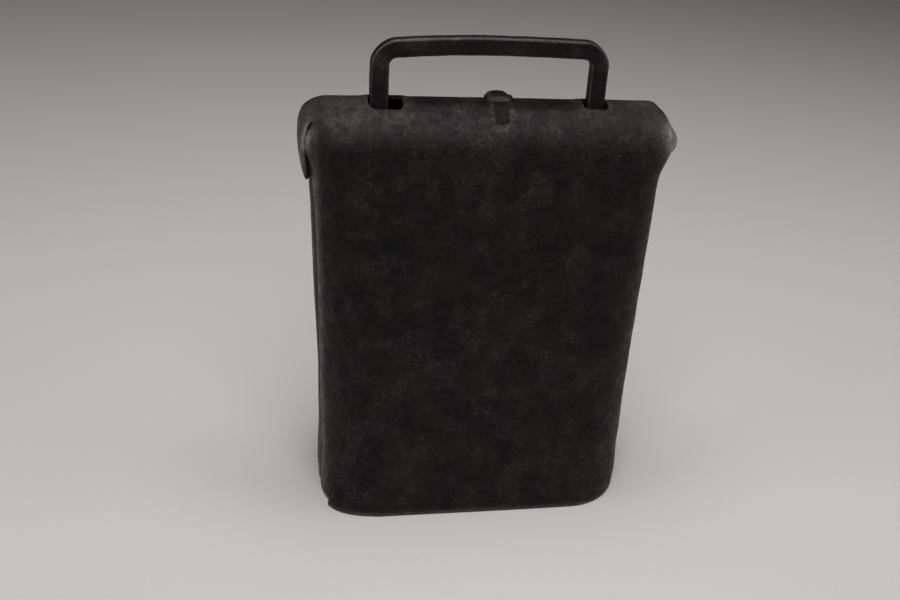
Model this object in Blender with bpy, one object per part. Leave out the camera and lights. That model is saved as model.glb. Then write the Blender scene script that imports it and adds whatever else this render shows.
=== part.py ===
"""Hand-forged sheet-iron cowbell: a folded shell, its rocking bail, and the clapper's hanging parts.

X runs across the bell, Y from its front to its back, and Z up from the mouth. Sizes are in millimetres.
"""
import math

import bmesh
import bpy
from mathutils import Vector

MM = 0.001

# Shell: one iron sheet folded over at the crown, its side edges lapped back over front and brazed.
SHEET = 1.2
LAP_STEP = 0.9
NECK_LAP_STEP = 0.7
CROWN_LAP_STEP = 0.3
BODY_HEIGHT = 138.0
RIDGE_RADIUS = 15.0
RIDGE_HALF_LENGTH = 50.5
MOUTH_HALF_WIDTH = 52.4
CHEST_HALF_WIDTH = 55.7
NECK_HALF_WIDTH = 56.2
SHOULDER_HALF_WIDTH = 58.0
WAIST = 0.7
MOUTH_HALF_DEPTH = 28.0
MOUTH_CORNER = 19.7
SHOULDER_CORNER = 12.0
LAP_SHARE = 0.5
NECK_SHARE = 0.94
BODY_SHARES = (0.0, 0.17, 0.33, 0.5, 0.67, 0.83, NECK_SHARE, 1.0)
CROWN_ROWS = 7
FACE_STEPS = 8
CORNER_STEPS = 6

# Ears: the ends of the ridge, bent down over the side seams. The right one is bent wider and is shorter.
EARS = (
    {"name": "ear_join_left", "side": -1, "bend": 6.5, "tip_height": 111.5},
    {"name": "ear_join_right", "side": 1, "bend": 12.5, "tip_height": 119.5},
)
EAR_REACH = 60.3
EAR_HALF_WIDTH = 9.5
EAR_TIP_LENGTH = 8.0
EAR_LAP_GAP = 0.25
EAR_ROOT = 44.0
EAR_SINK = 0.25
EAR_BEND_STEPS = 8
EAR_FALL_STEPS = 5
EAR_CROSS_STEPS = 6

# Bail: a square-forged rod, with its legs through the crown and their ends clinched outwards inside.
BAIL_X = -1.5
BAIL_HALF_SPAN = 37.0
BAIL_TOP = 157.9
BAIL_ARCH = 1.6
BAIL_LEG_WIDTH = 6.0
BAIL_BAR_HEIGHT = 5.5
BAIL_DEPTH = 4.2
BAIL_CORNER = 5.8
BAIL_EDGE = 0.7
BAIL_CLINCH_HEIGHT = 129.6
BAIL_CLINCH_REACH = 46.8
BAIL_PIVOT_HEIGHT = 136.0
HOLE_OUTER_GAP = 0.6
HOLE_INNER_GAP = 3.6
HOLE_FRONT = 5.4
HOLE_BACK = 3.3
HOLE_CORNER = 1.2

# Staple: a strap over the ridge, with its legs through two slots, closed inside as a stirrup.
STAPLE_X = 1.6
STAPLE_WIDTH = 5.4
STAPLE_THICKNESS = 2.0
STAPLE_SADDLE_GAP = 0.5
STAPLE_SADDLE_ANGLE = math.radians(40.0)
STAPLE_SHOULDER_RADIUS = 3.0
STAPLE_LEG_LEAN = math.radians(11.5)
STAPLE_BAR_HEIGHT = 117.0
STAPLE_BAR_DIAMETER = 3.2
STAPLE_BOTTOM_RADIUS = 4.0
SLOT_GAP = 0.45

# Link and clapper, which hang one from the other.
HANG_GAP = 0.3
LINK_WIRE = 2.8
LINK_INNER_WIDTH = 6.4
LINK_INNER_HEIGHT = 14.0
EYE_WIRE = 2.8
EYE_INNER_RADIUS = 2.8
SHANK_RADIUS = 2.9
KNOB_RADIUS = 10.5
KNOB_BOTTOM = 9.0
KNOB_HEIGHT = 24.0

WIRE_SIDES = 10
LATHE_SIDES = 20


def clear_scene():
    for old in list(bpy.data.objects):
        bpy.data.objects.remove(old, do_unlink=True)


def make_material(name, colour, roughness, metallic):
    material = bpy.data.materials.new(name)
    material.use_nodes = True
    shader = material.node_tree.nodes["Principled BSDF"]
    shader.inputs["Base Color"].default_value = (*colour, 1.0)
    shader.inputs["Roughness"].default_value = roughness
    shader.inputs["Metallic"].default_value = metallic
    material.diffuse_color = (*colour, 1.0)
    return material


def add_object(name, mesh_builder, material, pivot=(0.0, 0.0, 0.0)):
    """Turn a mesh built in millimetres into a named object with its origin on the pivot."""
    bmesh.ops.remove_doubles(mesh_builder, verts=mesh_builder.verts, dist=0.002)
    bmesh.ops.dissolve_degenerate(mesh_builder, edges=mesh_builder.edges, dist=0.001)
    bmesh.ops.recalc_face_normals(mesh_builder, faces=mesh_builder.faces)
    bmesh.ops.translate(mesh_builder, verts=mesh_builder.verts, vec=-Vector(pivot))
    bmesh.ops.scale(mesh_builder, verts=mesh_builder.verts, vec=(MM, MM, MM))
    mesh = bpy.data.meshes.new(name)
    mesh_builder.to_mesh(mesh)
    mesh_builder.free()
    part = bpy.data.objects.new(name, mesh)
    part.location = Vector(pivot) * MM
    bpy.context.scene.collection.objects.link(part)
    if material:
        mesh.materials.append(material)
        mesh.shade_smooth()
        mesh.set_sharp_from_angle(angle=math.radians(35.0))
    return part


def combine(target, tool, operation):
    """Join a second solid to the target, or cut it away, with a Boolean modifier."""
    tool.display_type = "WIRE"
    tool.hide_render = True
    modifier = target.modifiers.new(tool.name, "BOOLEAN")
    modifier.operation = operation
    modifier.solver = "EXACT"
    modifier.object = tool


def grid_faces(builder, rows, closed_across):
    """Join rows of vertices of equal length with quads."""
    for low, high in zip(rows, rows[1:]):
        count = len(low)
        for i in range(count if closed_across else count - 1):
            j = (i + 1) % count
            builder.faces.new((low[i], low[j], high[j], high[i]))


def arc_points(centre, radius, start, end, steps):
    """Points on an arc in a plane, from the start angle to the end angle, in radians."""
    angles = [start + (end - start) * i / steps for i in range(steps + 1)]
    return [
        (centre[0] + radius * math.cos(angle), centre[1] + radius * math.sin(angle))
        for angle in angles
    ]


def face_lean():
    """Lean of the front and back faces, which run from the mouth to touch the ridge's round."""
    ridge_height = BODY_HEIGHT - RIDGE_RADIUS
    across = math.hypot(MOUTH_HALF_DEPTH, ridge_height)
    return math.atan2(MOUTH_HALF_DEPTH, ridge_height) - math.asin(RIDGE_RADIUS / across)


def body_half_width(share):
    """Half width up the side: a slight waist, then a neck and the shoulder that flares above it."""
    if share == 1.0:
        return SHOULDER_HALF_WIDTH
    if share == NECK_SHARE:
        return NECK_HALF_WIDTH
    straight = MOUTH_HALF_WIDTH + (CHEST_HALF_WIDTH - MOUTH_HALF_WIDTH) * share
    return straight - WAIST * 4.0 * share * (1.0 - share)


def ring_sizes(row, inset):
    """Half width, half depth, corner radius and height of one ring of the sheet's skin."""
    lean = face_lean()
    ridge_height = BODY_HEIGHT - RIDGE_RADIUS
    radius = RIDGE_RADIUS - inset
    body_rows = len(BODY_SHARES) - 1
    if row <= body_rows:
        share = BODY_SHARES[row]
        top = ridge_height + radius * math.sin(lean)
        mouth_depth = MOUTH_HALF_DEPTH - inset / math.cos(lean)
        depth = mouth_depth + (radius * math.cos(lean) - mouth_depth) * share
        corner = MOUTH_CORNER + (SHOULDER_CORNER - MOUTH_CORNER) * share
        return body_half_width(share) - inset, depth, corner - inset, top * share
    angle = lean + (math.pi / 2 - lean) * (row - body_rows) / CROWN_ROWS
    narrowing = math.cos(angle) / math.cos(lean)
    width = RIDGE_HALF_LENGTH + (SHOULDER_HALF_WIDTH - RIDGE_HALF_LENGTH) * narrowing
    corner = (SHOULDER_CORNER - inset) * narrowing
    return width - inset, radius * math.cos(angle), corner, ridge_height + radius * math.sin(angle)


def ring_outline(half_width, half_depth, corner, step, lap_y):
    """One horizontal outline: the front sheet to the lap's edge, then the back sheet, a step wider."""
    outline = []
    for side, reach in ((-1, half_width), (1, half_width + step)):
        straight_x = reach - corner
        straight_y = half_depth - corner
        half = [(-reach, lap_y * -side)]
        half += arc_points((-straight_x, -straight_y), corner, math.pi, 1.5 * math.pi, CORNER_STEPS)
        half += [
            (straight_x * (2.0 * i / FACE_STEPS - 1.0), -half_depth) for i in range(1, FACE_STEPS)
        ]
        half += arc_points((straight_x, -straight_y), corner, 1.5 * math.pi, 2 * math.pi, CORNER_STEPS)
        half += [(reach, lap_y * -side)]
        outline += half if side < 0 else [(-x, -y) for x, y in half]
    return outline


def lap_step(row, crown_share):
    """How far the back sheet stands out over the front one, which lessens under the ears."""
    last_body_row = len(BODY_SHARES) - 1
    if row >= last_body_row:
        return CROWN_LAP_STEP * crown_share
    return NECK_LAP_STEP if BODY_SHARES[row] == NECK_SHARE else LAP_STEP


def shell_skin(builder, inset, lap_direction):
    """One skin of the sheet, from the mouth up to the ridge line."""
    rows = []
    for row in range(len(BODY_SHARES) + CROWN_ROWS):
        width, depth, corner, height = ring_sizes(row, inset)
        step = lap_step(row, depth / (RIDGE_RADIUS - inset))
        lap_y = lap_direction * LAP_SHARE * (depth - corner)
        outline = ring_outline(width, depth, corner, step, lap_y)
        rows.append([builder.verts.new((x, y, height)) for x, y in outline])
    return rows


def build_shell_sheet(material):
    builder = bmesh.new()
    outside = shell_skin(builder, 0.0, -1.0)
    inside = shell_skin(builder, SHEET, 1.0)
    grid_faces(builder, outside, True)
    grid_faces(builder, inside, True)
    grid_faces(builder, [outside[0], inside[0]], True)
    return add_object("shell", builder, material)


def ear_path(ear):
    """The ear's outer line in the XZ plane, from its root on the ridge down to its tip."""
    top = BODY_HEIGHT - EAR_SINK
    bend = ear["bend"]
    path = [(EAR_ROOT, top), (EAR_ROOT + 3.0, top)]
    path += arc_points((EAR_REACH - bend, top - bend), bend, math.pi / 2, 0.0, EAR_BEND_STEPS)
    lap_x = NECK_HALF_WIDTH + NECK_LAP_STEP + EAR_LAP_GAP + SHEET
    fall = top - bend - ear["tip_height"]
    for i in range(1, EAR_FALL_STEPS + 1):
        share = i / EAR_FALL_STEPS
        tuck = 0.5 + 0.5 * math.cos(math.pi * share)
        path.append((lap_x + (EAR_REACH - lap_x) * tuck, top - bend - fall * share))
    return path


def path_normals(path):
    """Unit normals of a path in a plane, on its left-hand side turned outwards."""
    normals = []
    for i in range(len(path)):
        before = path[max(i - 1, 0)]
        after = path[min(i + 1, len(path) - 1)]
        along = Vector((after[0] - before[0], after[1] - before[1])).normalized()
        normals.append((-along.y, along.x))
    return normals


def build_ear(ear):
    """A bent tongue of sheet, as curved across as the ridge where it leaves it and flatter below."""
    builder = bmesh.new()
    path = ear_path(ear)
    normals = path_normals(path)
    layers = {0.0: [], SHEET: []}
    for (x, z), (nx, nz) in zip(path, normals):
        drop = (BODY_HEIGHT - z) / (BODY_HEIGHT - ear["tip_height"])
        tip = max(0.0, 1.0 - (z - ear["tip_height"]) / EAR_TIP_LENGTH)
        half = EAR_HALF_WIDTH * (1.0 - 0.12 * drop) * math.sqrt(max(0.05, 1.0 - tip ** 3))
        flatten = 1.0 - 0.85 * min(1.0, drop * 1.6)
        for depth, rows in layers.items():
            row = []
            for i in range(EAR_CROSS_STEPS + 1):
                y = half * (2.0 * i / EAR_CROSS_STEPS - 1.0)
                sag = (RIDGE_RADIUS - math.sqrt(RIDGE_RADIUS ** 2 - y ** 2)) * flatten + depth
                row.append(builder.verts.new((ear["side"] * (x - nx * sag), y, z - nz * sag)))
            rows.append(row)
    outside, inside = layers[0.0], layers[SHEET]
    grid_faces(builder, outside, False)
    grid_faces(builder, inside, False)
    grid_faces(builder, [[row[0] for row in outside], [row[0] for row in inside]], False)
    grid_faces(builder, [[row[-1] for row in outside], [row[-1] for row in inside]], False)
    grid_faces(builder, [outside[0], inside[0]], False)
    grid_faces(builder, [outside[-1], inside[-1]], False)
    return add_object(ear["name"], builder, None)


def build_hole_cutter(name, side):
    """A rounded upright block that opens the crown for one of the bail's legs."""
    outer = BAIL_X + side * (BAIL_HALF_SPAN + HOLE_OUTER_GAP)
    inner = BAIL_X + side * (BAIL_HALF_SPAN - BAIL_LEG_WIDTH - HOLE_INNER_GAP)
    low_x, high_x = sorted((outer, inner))
    corners = ((high_x, 1, 1), (low_x, -1, 1), (low_x, -1, -1), (high_x, 1, -1))
    outline = []
    for quarter, (x, along, across) in enumerate(corners):
        reach = HOLE_BACK if across > 0 else HOLE_FRONT
        centre = (x - along * HOLE_CORNER, across * (reach - HOLE_CORNER))
        start = quarter * math.pi / 2
        outline += arc_points(centre, HOLE_CORNER, start, start + math.pi / 2, 3)
    builder = bmesh.new()
    rows = [
        [builder.verts.new((x, y, z)) for x, y in outline]
        for z in (BODY_HEIGHT - 9.0, BODY_HEIGHT + 3.0)
    ]
    grid_faces(builder, rows, True)
    builder.faces.new(rows[0])
    builder.faces.new(rows[1])
    return add_object(name, builder, None)


def rounded_section(half_u, half_v, edge, steps=1):
    """A rectangle with eased edges, as points round the section of a forged rod."""
    points = []
    for quarter, (u, v) in enumerate(((1, 1), (-1, 1), (-1, -1), (1, -1))):
        centre = (u * (half_u - edge), v * (half_v - edge))
        start = quarter * math.pi / 2
        points += arc_points(centre, edge, start, start + math.pi / 2, steps)
    return points


def sweep(builder, stations, closed):
    """Skin a rod through stations of (centre, u axis, v axis, section points)."""
    rows = []
    for centre, u_axis, v_axis, section in stations:
        rows.append([builder.verts.new(centre + u_axis * u + v_axis * v) for u, v in section])
    if closed:
        rows.append(rows[0])
    grid_faces(builder, rows, True)
    if not closed:
        builder.faces.new(rows[0])
        builder.faces.new(rows[-1])


def bail_path():
    """Centre line of the bail in the XZ plane, from its left clinched end to its right one."""
    leg_x = BAIL_HALF_SPAN - BAIL_LEG_WIDTH / 2
    bar_end_z = BAIL_TOP - BAIL_BAR_HEIGHT / 2 - BAIL_ARCH
    corner_x = leg_x - BAIL_CORNER
    clinch_x = leg_x + BAIL_CORNER
    half = [(BAIL_CLINCH_REACH, BAIL_CLINCH_HEIGHT)]
    turn = (clinch_x, BAIL_CLINCH_HEIGHT + BAIL_CORNER)
    half += arc_points(turn, BAIL_CORNER, 1.5 * math.pi, math.pi, 5)
    half += [(leg_x, 143.0)]
    half += arc_points((corner_x, bar_end_z - BAIL_CORNER), BAIL_CORNER, 0.0, math.pi / 2, 5)
    arch_steps = 5
    for i in range(1, arch_steps):
        x = corner_x * (1.0 - i / arch_steps)
        half.append((x, bar_end_z + BAIL_ARCH * (1.0 - (x / corner_x) ** 2)))
    middle = [(0.0, bar_end_z + BAIL_ARCH)]
    return [(-x, z) for x, z in half] + middle + half[::-1]


def build_bail(material):
    builder = bmesh.new()
    path = bail_path()
    bar_z = BAIL_TOP - BAIL_BAR_HEIGHT - BAIL_ARCH
    stations = []
    for (x, z), (nx, nz) in zip(path, path_normals(path)):
        on_bar = min(1.0, max(0.0, (z - bar_z + 4.0) / 6.0))
        across = BAIL_LEG_WIDTH + (BAIL_BAR_HEIGHT - BAIL_LEG_WIDTH) * on_bar
        if z < BAIL_CLINCH_HEIGHT + BAIL_CORNER:
            across = BAIL_BAR_HEIGHT
        section = rounded_section(across / 2, BAIL_DEPTH / 2, BAIL_EDGE)
        centre = Vector((BAIL_X + x, 0.0, z))
        stations.append((centre, Vector((nx, 0.0, nz)), Vector((0.0, 1.0, 0.0)), section))
    sweep(builder, stations, False)
    return add_object("bail", builder, material, (BAIL_X, 0.0, BAIL_PIVOT_HEIGHT))


def staple_half_path():
    """Centre line of the staple's back half in the YZ plane, from over the ridge to the bar's middle."""
    ridge_height = BODY_HEIGHT - RIDGE_RADIUS
    saddle = RIDGE_RADIUS + STAPLE_SADDLE_GAP + STAPLE_THICKNESS / 2
    up = math.pi / 2
    path = arc_points((0.0, ridge_height), saddle, up, up - STAPLE_SADDLE_ANGLE, 5)
    radius = STAPLE_SHOULDER_RADIUS
    inward = (saddle - radius) / saddle
    shoulder = (path[-1][0] * inward, ridge_height + (path[-1][1] - ridge_height) * inward)
    path += arc_points(shoulder, radius, up - STAPLE_SADDLE_ANGLE, -STAPLE_LEG_LEAN, 5)[1:]
    leg_top = path[-1]
    bottom = STAPLE_BOTTOM_RADIUS
    turn_z = STAPLE_BAR_HEIGHT + bottom
    reach = bottom * math.cos(STAPLE_LEG_LEAN)
    leg_end_z = turn_z - bottom * math.sin(STAPLE_LEG_LEAN)
    leg_end_y = leg_top[0] - (leg_top[1] - leg_end_z) * math.tan(STAPLE_LEG_LEAN)
    for i in range(1, 4):
        share = i / 4
        path.append(
            (
                leg_top[0] + (leg_end_y - leg_top[0]) * share,
                leg_top[1] + (leg_end_z - leg_top[1]) * share,
            )
        )
    turn = (leg_end_y - reach, turn_z)
    path += arc_points(turn, bottom, -STAPLE_LEG_LEAN, -math.pi / 2, 5)
    return path, leg_top


def build_staple(material):
    """The strap is flat over the ridge and drawn down to a round bar where the link hangs."""
    half, leg_top = staple_half_path()
    path = half + [(-y, z) for y, z in reversed(half[1:])]
    centre_z = (BODY_HEIGHT + STAPLE_BAR_HEIGHT) / 2
    stations = []
    count = len(path)
    for i, (y, z) in enumerate(path):
        before = path[i - 1]
        after = path[(i + 1) % count]
        along = Vector((0.0, after[0] - before[0], after[1] - before[1])).normalized()
        outward = Vector((0.0, -along.z, along.y))
        if outward.dot(Vector((0.0, y, z - centre_z))) < 0.0:
            outward.negate()
        drawn = min(1.0, max(0.0, (leg_top[1] - 6.0 - z) / 4.0))
        width = STAPLE_WIDTH + (STAPLE_BAR_DIAMETER - STAPLE_WIDTH) * drawn
        thickness = STAPLE_THICKNESS + (STAPLE_BAR_DIAMETER - STAPLE_THICKNESS) * drawn
        edge = 0.5 + (0.42 * STAPLE_BAR_DIAMETER - 0.5) * drawn
        section = rounded_section(width / 2, thickness / 2, edge, 2)
        stations.append((Vector((STAPLE_X, y, z)), Vector((1.0, 0.0, 0.0)), outward, section))
    builder = bmesh.new()
    sweep(builder, stations, True)
    return add_object("clapper_staple", builder, material)


def build_slot_cutter(name, side):
    """A leaning block that opens the crown for one leg of the staple."""
    leg_top = staple_half_path()[1]
    half_x = STAPLE_WIDTH / 2 + SLOT_GAP
    half_v = STAPLE_THICKNESS / 2 + SLOT_GAP
    down = Vector((0.0, -side * math.sin(STAPLE_LEG_LEAN), -math.cos(STAPLE_LEG_LEAN)))
    outward = Vector((0.0, side * math.cos(STAPLE_LEG_LEAN), -math.sin(STAPLE_LEG_LEAN)))
    start = Vector((STAPLE_X, side * leg_top[0], leg_top[1]))
    section = rounded_section(half_x, half_v, 0.6)
    builder = bmesh.new()
    stations = [
        (start + down * offset, Vector((1.0, 0.0, 0.0)), outward, section)
        for offset in (-3.0, 6.0)
    ]
    sweep(builder, stations, False)
    return add_object(name, builder, None)


def wire_circle(radius):
    angles = [2.0 * math.pi * i / WIRE_SIDES for i in range(WIRE_SIDES)]
    return [(radius * math.cos(angle), radius * math.sin(angle)) for angle in angles]


def link_top_centre():
    """Height of the link's wire centre where it rides over the staple's bar."""
    return STAPLE_BAR_HEIGHT + STAPLE_BAR_DIAMETER / 2 + HANG_GAP + LINK_WIRE / 2


def link_bottom_centre():
    """Height of the link's wire centre where the clapper's eye hangs."""
    return link_top_centre() - LINK_INNER_HEIGHT - LINK_WIRE


def build_link(material):
    """An oval ring in the XZ plane, closed round the staple's bar."""
    radius = (LINK_INNER_WIDTH + LINK_WIRE) / 2
    high = link_top_centre() - radius
    low = link_bottom_centre() + radius
    path = arc_points((0.0, high), radius, 0.0, math.pi, 10)
    path += arc_points((0.0, low), radius, math.pi, 2.0 * math.pi, 10)
    section = wire_circle(LINK_WIRE / 2)
    count = len(path)
    stations = []
    for i, (x, z) in enumerate(path):
        before = path[i - 1]
        after = path[(i + 1) % count]
        along = Vector((after[0] - before[0], 0.0, after[1] - before[1])).normalized()
        outward = Vector((along.z, 0.0, -along.x))
        centre = Vector((STAPLE_X + x, 0.0, z))
        stations.append((centre, outward, Vector((0.0, 1.0, 0.0)), section))
    builder = bmesh.new()
    sweep(builder, stations, True)
    return add_object("clapper_link", builder, material, (STAPLE_X, 0.0, STAPLE_BAR_HEIGHT))


def eye_centre():
    """Height of the eye's centre: its wire rides over the link's bottom."""
    return link_bottom_centre() + LINK_WIRE / 2 + HANG_GAP - EYE_INNER_RADIUS


def clapper_profile():
    """Radius and height down the clapper, from inside the eye's lower side to the knob's underside."""
    shank_top = eye_centre() - EYE_INNER_RADIUS - 0.6
    shoulder = KNOB_BOTTOM + KNOB_HEIGHT
    belly = KNOB_BOTTOM + KNOB_RADIUS
    profile = [(0.0, shank_top), (2.2, shank_top), (SHANK_RADIUS, shank_top - 6.0)]
    profile += [(SHANK_RADIUS + 0.4, shoulder + 4.0), (SHANK_RADIUS + 1.6, shoulder)]
    profile += [(KNOB_RADIUS * 0.78, belly + 6.0), (KNOB_RADIUS * 0.96, belly + 2.5)]
    profile += [(KNOB_RADIUS, belly)]
    below = arc_points((0.0, 0.0), 1.0, 0.0, -math.pi / 2, 6)
    profile += [(KNOB_RADIUS * x, belly + KNOB_RADIUS * z) for x, z in below[1:]]
    return profile


def build_clapper(material):
    builder = bmesh.new()
    rows = []
    for radius, height in clapper_profile():
        row = []
        for i in range(LATHE_SIDES):
            angle = 2.0 * math.pi * i / LATHE_SIDES
            x = STAPLE_X + radius * math.cos(angle)
            row.append(builder.verts.new((x, radius * math.sin(angle), height)))
        rows.append(row)
    grid_faces(builder, rows, True)
    pivot = (STAPLE_X, 0.0, link_bottom_centre())
    clapper = add_object("clapper", builder, material, pivot)

    eye = bmesh.new()
    radius = EYE_INNER_RADIUS + EYE_WIRE / 2
    stations = []
    for y, z in arc_points((0.0, 0.0), 1.0, 0.0, 2.0 * math.pi, 20)[:-1]:
        outward = Vector((0.0, y, z))
        centre = Vector((STAPLE_X, 0.0, eye_centre())) + outward * radius
        stations.append((centre, Vector((1.0, 0.0, 0.0)), outward, wire_circle(EYE_WIRE / 2)))
    sweep(eye, stations, True)
    combine(clapper, add_object("clapper_eye_join", eye, None), "UNION")
    return clapper


def build_shell(material):
    shell = build_shell_sheet(material)
    for ear in EARS:
        combine(shell, build_ear(ear), "UNION")
    for side, word in ((-1, "left"), (1, "right")):
        combine(shell, build_hole_cutter("bail_hole_" + word, side), "DIFFERENCE")
    for side, word in ((-1, "front"), (1, "back")):
        combine(shell, build_slot_cutter("staple_slot_" + word, side), "DIFFERENCE")
    return shell


def main():
    clear_scene()
    build_shell(make_material("shell_patina_iron", (0.018, 0.014, 0.013), 0.62, 0.75))
    build_bail(make_material("bail_forged_iron", (0.013, 0.011, 0.012), 0.55, 0.8))
    build_staple(make_material("staple_forged_iron", (0.016, 0.012, 0.011), 0.6, 0.8))
    build_link(make_material("link_iron_wire", (0.020, 0.016, 0.014), 0.5, 0.85))
    build_clapper(make_material("clapper_forged_iron", (0.022, 0.018, 0.016), 0.55, 0.85))


main()
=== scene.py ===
import math

import bmesh
import bpy
import numpy as np
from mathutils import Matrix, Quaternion, Vector, noise


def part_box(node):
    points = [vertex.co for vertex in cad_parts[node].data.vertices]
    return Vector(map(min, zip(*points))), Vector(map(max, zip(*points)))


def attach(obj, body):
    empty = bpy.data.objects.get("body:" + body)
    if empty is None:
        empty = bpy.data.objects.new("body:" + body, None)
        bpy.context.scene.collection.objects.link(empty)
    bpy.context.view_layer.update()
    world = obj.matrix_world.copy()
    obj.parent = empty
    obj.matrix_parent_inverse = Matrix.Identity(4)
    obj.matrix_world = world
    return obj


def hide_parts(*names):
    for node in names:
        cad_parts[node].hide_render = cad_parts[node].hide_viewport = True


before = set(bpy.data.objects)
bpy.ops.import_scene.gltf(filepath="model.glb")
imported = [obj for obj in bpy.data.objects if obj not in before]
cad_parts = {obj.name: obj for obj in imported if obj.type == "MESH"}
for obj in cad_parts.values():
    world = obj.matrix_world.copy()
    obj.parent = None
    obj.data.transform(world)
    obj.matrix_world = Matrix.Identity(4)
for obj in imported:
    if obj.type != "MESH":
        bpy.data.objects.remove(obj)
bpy.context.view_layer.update()        # bodies bell, bail, link and clapper, with their CAD nodes
mm = 0.001


# helpers for numbers, meshes and nodes

def hexColour(text, alpha=1.0):
    # sRGB hex to the linear colour that a shader wants
    parts = [int(text[i:i + 2], 16) / 255.0 for i in (1, 3, 5)]
    linear = [c / 12.92 if c <= 0.04045 else ((c + 0.055) / 1.055) ** 2.4 for c in parts]
    return (*linear, alpha)


def clamp(value, low=0.0, high=1.0):
    return np.clip(value, low, high)


def smoothStep(value, start, end):
    share = clamp((np.asarray(value, float) - start) / (end - start))
    return share * share * (3.0 - 2.0 * share)


def roughField(points, size, seed, octaves=1):
    # soft noise from -1 to 1 at each point, its lumps about one size (mm) across
    total = np.zeros(len(points))
    for octave in range(octaves):
        scale = 2.0 ** octave / size
        shifted = points * scale + seed * 17.3 + octave * 5.1
        total += np.array([noise.noise(p) for p in shifted]) * 0.55 ** octave
    return total


def easedLine(heights, keys, spread):
    # a line through the keys, with its corners rounded off over the spread (mm)
    xs, ys = zip(*keys)
    offsets = np.linspace(-1.0, 1.0, 9) * spread
    weights = 1.0 - np.abs(offsets) / (spread * 1.25)
    lines = [np.interp(heights + offset, xs, ys) * w for offset, w in zip(offsets, weights)]
    return sum(lines) / weights.sum()


def gridMesh(name, rings, closedAlong=False, capped=True):
    # quads between rings of points in mm, each ring closed on itself
    rings = np.asarray(rings, float)
    rows, columns = rings.shape[:2]
    faces = []
    for row in range(rows if closedAlong else rows - 1):
        above = (row + 1) % rows
        for i in range(columns):
            j = (i + 1) % columns
            low, high = row * columns, above * columns
            faces.append((low + i, low + j, high + j, high + i))
    if capped and not closedAlong:
        faces.append(tuple(range(columns))[::-1])
        faces.append(tuple(range((rows - 1) * columns, rows * columns)))
    mesh = bpy.data.meshes.new(name)
    mesh.from_pydata(rings.reshape(-1, 3).tolist(), [], faces)
    return mesh


def cleanMesh(mesh, weld=0.002):
    # welds points that meet and turns every face outwards
    builder = bmesh.new()
    builder.from_mesh(mesh)
    bmesh.ops.remove_doubles(builder, verts=builder.verts, dist=weld)
    bmesh.ops.dissolve_degenerate(builder, edges=builder.edges, dist=weld / 2)
    bmesh.ops.recalc_face_normals(builder, faces=builder.faces)
    builder.to_mesh(mesh)
    builder.free()
    return mesh


def readPoints(mesh, field="co"):
    flat = np.empty(len(mesh.vertices) * 3, dtype=np.float32)
    mesh.vertices.foreach_get(field, flat)
    return flat.reshape(-1, 3).astype(float)


def readNormals(mesh):
    return readPoints(mesh, "normal")


def writePoints(mesh, points):
    mesh.vertices.foreach_set("co", np.asarray(points, dtype=np.float32).ravel())
    mesh.update()


def smoothPoints(mesh, weights, rounds):
    # eases points towards their neighbours, each by its own weight
    points = readPoints(mesh)
    pairs = np.empty(len(mesh.edges) * 2, dtype=np.int32)
    mesh.edges.foreach_get("vertices", pairs)
    first, second = pairs.reshape(-1, 2).T
    count = len(points)
    neighbours = np.bincount(first, minlength=count) + np.bincount(second, minlength=count)
    for _ in range(rounds):
        for axis in range(3):
            line = points[:, axis]
            total = np.bincount(first, line[second], count)
            total += np.bincount(second, line[first], count)
            points[:, axis] = line + weights * (total / np.maximum(neighbours, 1) - line)
    writePoints(mesh, points)


def writeMasks(mesh, **masks):
    # 0 to 1 values at each point, which the material reads by their names
    masks.setdefault("braze", np.zeros(len(mesh.vertices)))
    for name, values in masks.items():
        layer = mesh.attributes.new(name, "FLOAT", "POINT")
        layer.data.foreach_set("value", clamp(values).astype(np.float32))


def lumpAt(place, centre, reach):
    # a soft lump: 1 at its centre, nearly nothing at twice its reach (mm) on each axis
    x, y, z = [((p - c) / r) ** 2 for p, c, r in zip(place, centre, reach)]
    return np.exp(-(x + y + z))


def addObject(name, mesh):
    piece = bpy.data.objects.new(name, mesh)
    bpy.context.scene.collection.objects.link(piece)
    return piece


def cutAndJoin(base, tools):
    # each tool is an object and what it does to the base; all of them are used up
    for tool, operation in tools:
        change = base.modifiers.new(tool.name, "BOOLEAN")
        change.operation, change.solver, change.object = operation, "MANIFOLD", tool
    ready = base.evaluated_get(bpy.context.evaluated_depsgraph_get())
    mesh = bpy.data.meshes.new_from_object(ready)
    for old in [base] + [tool for tool, operation in tools]:
        bpy.data.objects.remove(old, do_unlink=True)
    return mesh


def finishPiece(piece, material, body, node, sharpAngle=38.0):
    # millimetres become metres, then the piece takes its material, body and CAD node
    mesh = piece.data
    writePoints(mesh, readPoints(mesh) * mm)
    mesh.materials.clear()
    mesh.materials.append(material)
    mesh.shade_smooth()
    mesh.set_sharp_from_angle(angle=math.radians(sharpAngle))
    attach(piece, body)
    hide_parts(node)
    print("piece", piece.name, "made with", len(mesh.polygons), "faces, on", body)
    return piece


def addNode(tree, kind, settings=None, links=None):
    # settings whose key names a socket (or counts to one) go there, others to the node
    node = tree.nodes.new("ShaderNode" + kind)
    for key, value in (settings or {}).items():
        if key == "stops":
            ramp = node.color_ramp
            while len(ramp.elements) < len(value):
                ramp.elements.new(0.5)
            for element, (place, colour) in zip(ramp.elements, value):
                element.position = place
                element.color = hexColour(colour)
        elif isinstance(key, int) or key in node.inputs:
            node.inputs[key].default_value = value
        else:
            setattr(node, key, value)
    for key, source in (links or {}).items():
        tree.links.new(source, node.inputs[key])
    return node


# material graph shared by the irons: colours, their mottling and the surface's relief

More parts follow.
